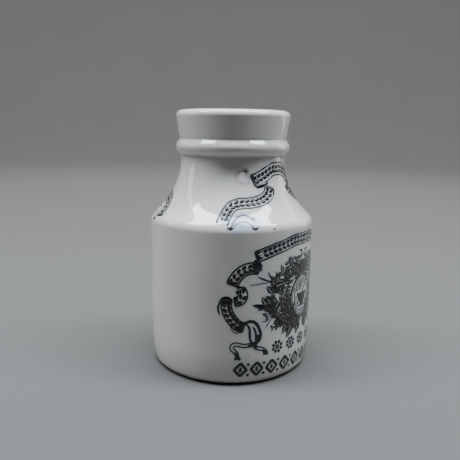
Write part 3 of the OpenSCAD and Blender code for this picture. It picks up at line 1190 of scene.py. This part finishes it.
lozenge_path = [(angle, LOZENGE_Z) for angle in range(-50, 51, 2)]
lozenge_band = print_mesh("lozenge_band", [(path_mesh("row", [lozenge_path]), {})], ROW,
                          {**row_sizes, "Motif": lozenge, "Spacing": LOZENGE_SPACING * MM})
rosette_path = [(angle, ROSETTE_Z) for angle in range(-24, 25, 2)]
rosette_row = print_mesh("rosette_row", [(path_mesh("row", [rosette_path]), {})], ROW,
                         {**row_sizes, "Motif": rosette, "Spacing": ROSETTE_SPACING * MM})
for shape in (link, leaf, lozenge, rosette):
    bpy.data.objects.remove(shape)

printed = [ribbon_lines, ribbon_row, shoulder_lines, shoulder_row, wreath, leaves, medal, mortar,
           lozenge_band, rosette_row]
print_group = bpy.data.collections.new("print")
bpy.context.scene.collection.children.link(print_group)
for piece in printed:
    print_group.objects.link(piece)
    bpy.context.collection.objects.unlink(piece)

glaze = grow("glaze_coat", bare_glaze.data, BLEED,
             {"Print": print_group, "Reach": 1.3 * MM, "Material": GLAZE})

grain = bpy.data.meshes.new("grain")
shape = bmesh.new()
bmesh.ops.create_icosphere(shape, subdivisions=1, radius=1.0, matrix=Matrix.Diagonal((1, 1, 0.3, 1)))
shape.to_mesh(grain)
shape.free()
grain_shape = bpy.data.objects.new("grain", grain)
bpy.context.collection.objects.link(grain_shape)
specks = grow("iron_specks", bare_glaze.data, SPECKLE,
              {"Grain": grain_shape, "Apart": 9 * MM, "Share": 0.03, "Smallest": 0.08 * MM,
               "Largest": 0.26 * MM, "Seed": 5, "Material": IRON})
bpy.data.objects.remove(grain_shape)
pits = Drawing()
for angle, z, length, half_width in PITS:
    reach = math.degrees(length / 2 / glaze_radius(z))
    pits.draw([(angle + reach * k / 4, z) for k in range(-4, 5)], tapered(half_width, 0.06))
spots = print_mesh("spots", [(pits.mesh("pits"), {})], LINE,
                   {**line_sizes, "Step": 0.12 * MM, "Nib points": 5, "Material": IRON})
specks = joined("iron_specks", [specks, spots])
bpy.data.objects.remove(bare_glaze)

plain_cork = grow("plain_cork", profile_mesh("cork_profile", cork_profile()), TURNED,
                  {"Segments": CORK_SEGMENTS, "Still radius": 1.0, "Material": CORK})
cork = grow("cork", plain_cork.data, pitted_tree(), {"Depth": 0.35 * MM, "Material": CORK})
bpy.data.objects.remove(plain_cork)

for piece in (glaze, clay, under_glaze, cork):
    piece.data.set_sharp_from_angle(angle=math.radians(50))

# ---------------------------------------------------------------------------------------------
# Each piece hides the imported solids it replaces, and moves with its body
# ---------------------------------------------------------------------------------------------

for piece, slot, nodes in (
        (glaze, "white_glaze", ("outer_glaze", "inner_glaze")),
        (clay, "fired_clay", ("clay_body",)),
        (under_glaze, "white_glaze", ("base_glaze",))):
    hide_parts(*nodes)
    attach(piece, "jar")
for piece in printed:
    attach(piece, "jar")
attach(specks, "jar")
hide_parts("cork_stopper")
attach(cork, "stopper")

# ---------------------------------------------------------------------------------------------
# Floor, light and camera
# ---------------------------------------------------------------------------------------------

JAR_AXIS_TO_CAMERA = 254.4 * MM
CAMERA_H = 111.8 * MM
CAMERA_ASIDE = 0.72 * MM
CAMERA_AZIMUTH = math.radians(-57)
CAMERA_DOWN = math.radians(10.87)
CAMERA_ROLL = math.radians(0.85)
LENS_MM = 41.44

# The floor's flat radius, the radius of its bend and the height of its wall, in metres.
STAGE_FLAT = 1.4
STAGE_BEND = 0.9
STAGE_RISE = 2.2


def backdrop():
    """A pale round floor that curves up into a wall far away on every side."""
    turns = 64
    bend_angles = [math.radians(7.5 * i) for i in range(13)]
    rows = [(STAGE_FLAT * share, 0.0) for share in (0.25, 0.5, 0.75)]
    rows += [(STAGE_FLAT + STAGE_BEND * math.sin(a), STAGE_BEND - STAGE_BEND * math.cos(a))
             for a in bend_angles]
    rows += [(STAGE_FLAT + STAGE_BEND, STAGE_RISE)]
    points = [(0, 0, 0)]
    points += [(r * math.cos(math.tau * k / turns), r * math.sin(math.tau * k / turns), z)
               for r, z in rows for k in range(turns)]
    faces = [(0, 1 + k, 1 + (k + 1) % turns) for k in range(turns)]
    for row in range(len(rows) - 1):
        here, there = 1 + row * turns, 1 + (row + 1) * turns
        faces += [(here + k, there + k, there + (k + 1) % turns, here + (k + 1) % turns)
                  for k in range(turns)]
    mesh = bpy.data.meshes.new("pale_floor")
    mesh.from_pydata(points, [], faces)
    mesh.shade_smooth()
    mesh.materials.append(stage_finish())
    floor = bpy.data.objects.new("pale_floor", mesh)
    bpy.context.collection.objects.link(floor)


def softbox(name, azimuth, elevation, away, width, height, power, colour, aim=None):
    """An area light aimed at the jar's middle or at aim; azimuth is in degrees from the camera's."""
    light = bpy.data.lights.new(name, "AREA")
    light.shape = "RECTANGLE"
    light.size, light.size_y = width, height
    light.energy = power
    light.color = colour
    lamp = bpy.data.objects.new(name, light)
    bpy.context.collection.objects.link(lamp)
    turn = CAMERA_AZIMUTH + math.radians(azimuth)
    lift = math.radians(elevation)
    out = Vector((math.sin(turn) * math.cos(lift), -math.cos(turn) * math.cos(lift), math.sin(lift)))
    lamp.location = Vector((0, 0, JAR_H * MM / 2)) + out * away
    back = out if aim is None else (lamp.location - aim).normalized()
    across = Vector((0, 0, 1)).cross(back).normalized()
    lamp.rotation_euler = Matrix((across, back.cross(across), back)).transposed().to_euler()


def light_the_stage():
    """A ceiling light behind the jar, a narrow skylight over it and weak windows to its sides."""
    softbox("ceiling", 180, 72, 1.7, 2.6, 1.8, 12.5, (1.0, 0.99, 0.97))
    softbox("skylight", 0, 85, 0.65, 1.2, 0.17, 18.5, (0.8, 0.9, 1.0))
    softbox("left_window", -93, 26, 0.8, 0.03, 0.6, 0.5, (0.95, 0.98, 1.0))
    softbox("left_sidelight", -99, 22, 0.8, 0.03, 0.4, 0.35, (0.95, 0.98, 1.0))
    softbox("right_window", 118, 14, 0.8, 0.3, 0.7, 1.1, (1.0, 0.99, 0.97))
    behind = Vector((-math.sin(CAMERA_AZIMUTH), math.cos(CAMERA_AZIMUTH), 0))
    softbox("backdrop_light", 180, 60, 1.2, 1.8, 0.5, 40.0, (0.94, 0.97, 1.0),
            behind * (STAGE_FLAT + STAGE_BEND))
    world = bpy.data.worlds.new("studio")
    bpy.context.scene.world = world
    world.use_nodes = True
    sky = world.node_tree.nodes["Background"]
    sky.inputs["Color"].default_value = (0.55, 0.56, 0.58, 1.0)
    sky.inputs["Strength"].default_value = 0.05


def set_camera():
    """Level axes first, then tipped down, then rolled about the line of sight."""
    right = Vector((math.cos(CAMERA_AZIMUTH), math.sin(CAMERA_AZIMUTH), 0))
    level = Vector((-math.sin(CAMERA_AZIMUTH), math.cos(CAMERA_AZIMUTH), 0))
    ahead = level * math.cos(CAMERA_DOWN) - Vector((0, 0, math.sin(CAMERA_DOWN)))
    up = right.cross(ahead)
    rolled_right = right * math.cos(CAMERA_ROLL) + up * math.sin(CAMERA_ROLL)
    rolled_up = up * math.cos(CAMERA_ROLL) - right * math.sin(CAMERA_ROLL)
    eye = -level * JAR_AXIS_TO_CAMERA - right * CAMERA_ASIDE + Vector((0, 0, CAMERA_H))
    data = bpy.data.cameras.new("camera")
    data.lens = LENS_MM
    data.sensor_width = 36
    camera = bpy.data.objects.new("camera", data)
    bpy.context.collection.objects.link(camera)
    axes = Matrix((rolled_right, rolled_up, -ahead)).transposed().to_4x4()
    camera.matrix_world = Matrix.Translation(eye) @ axes
    bpy.context.scene.camera = camera


backdrop()
light_the_stage()
set_camera()


def plain(bounds):
    return [[round(float(value), 6) for value in corner] for corner in bounds]
